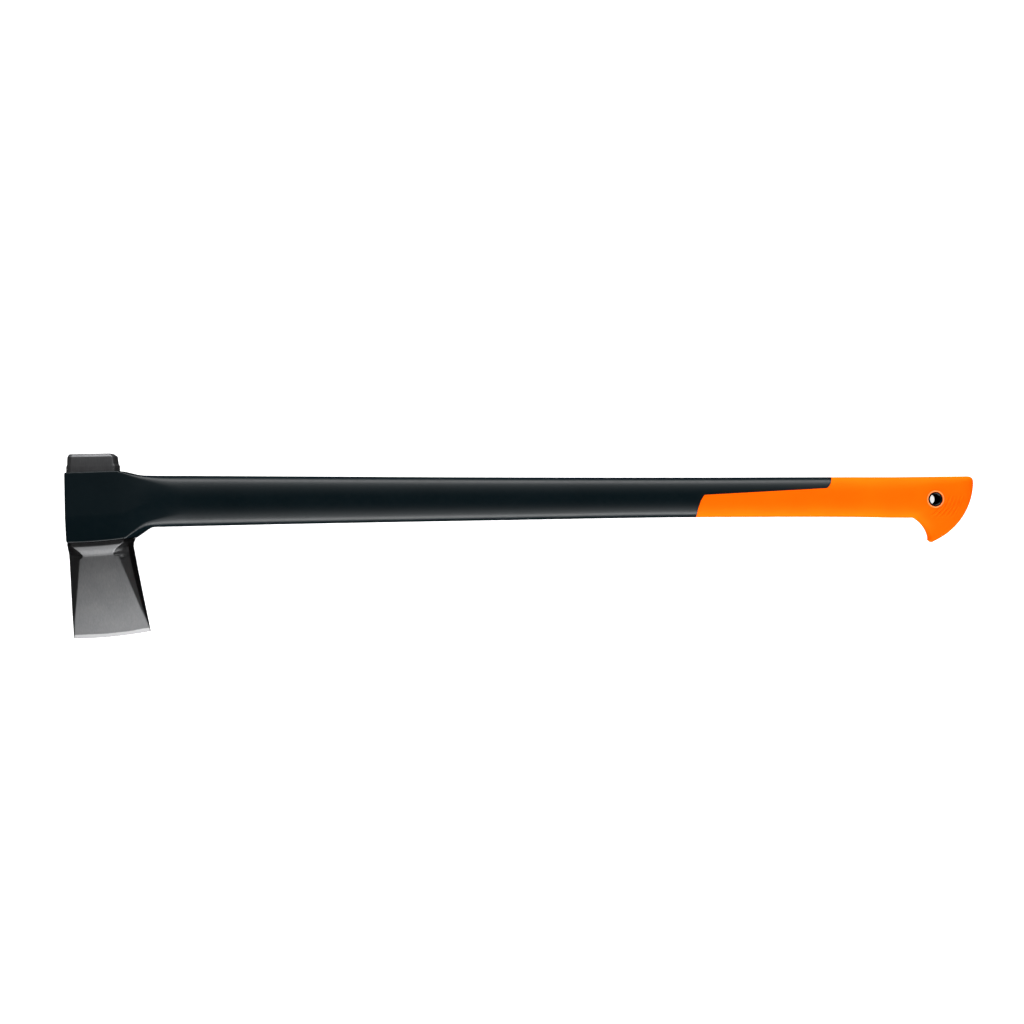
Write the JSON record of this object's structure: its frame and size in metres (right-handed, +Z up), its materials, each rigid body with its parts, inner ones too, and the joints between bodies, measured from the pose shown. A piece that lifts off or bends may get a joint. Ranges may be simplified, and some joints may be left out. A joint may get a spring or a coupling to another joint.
{
  "type": "splitting maul",
  "caption": "Long-handled splitting maul: a forged wedge head with a flat poll, held in the moulded collar of an oval composite handle with a soft hooked grip.",
  "frame": {"origin": "under the middle of the maul's outline, on the plane that the lower cheek of the collar rests on", "axes": "the maul lies on its side: +X along the handle from the head to the butt, +Y out of the poll, with the cutting edge facing -Y, and +Z up through the thickness"},
  "size_m": [0.915, 0.1875, 0.056],
  "materials": {
    "forged_steel": "forged, with satin ground cheeks and a bright cutting edge",
    "black_nylon": "satin, very finely textured moulding",
    "plug_nylon": "plain moulding, hidden",
    "orange_grip": "soft satin overmoulding"
  },
  "bodies": {
    "root": {"maul_head": "forged_steel", "handle_shaft": "black_nylon", "core_plug": "plug_nylon", "soft_grip": "orange_grip"}
  },
  "joints": []
}
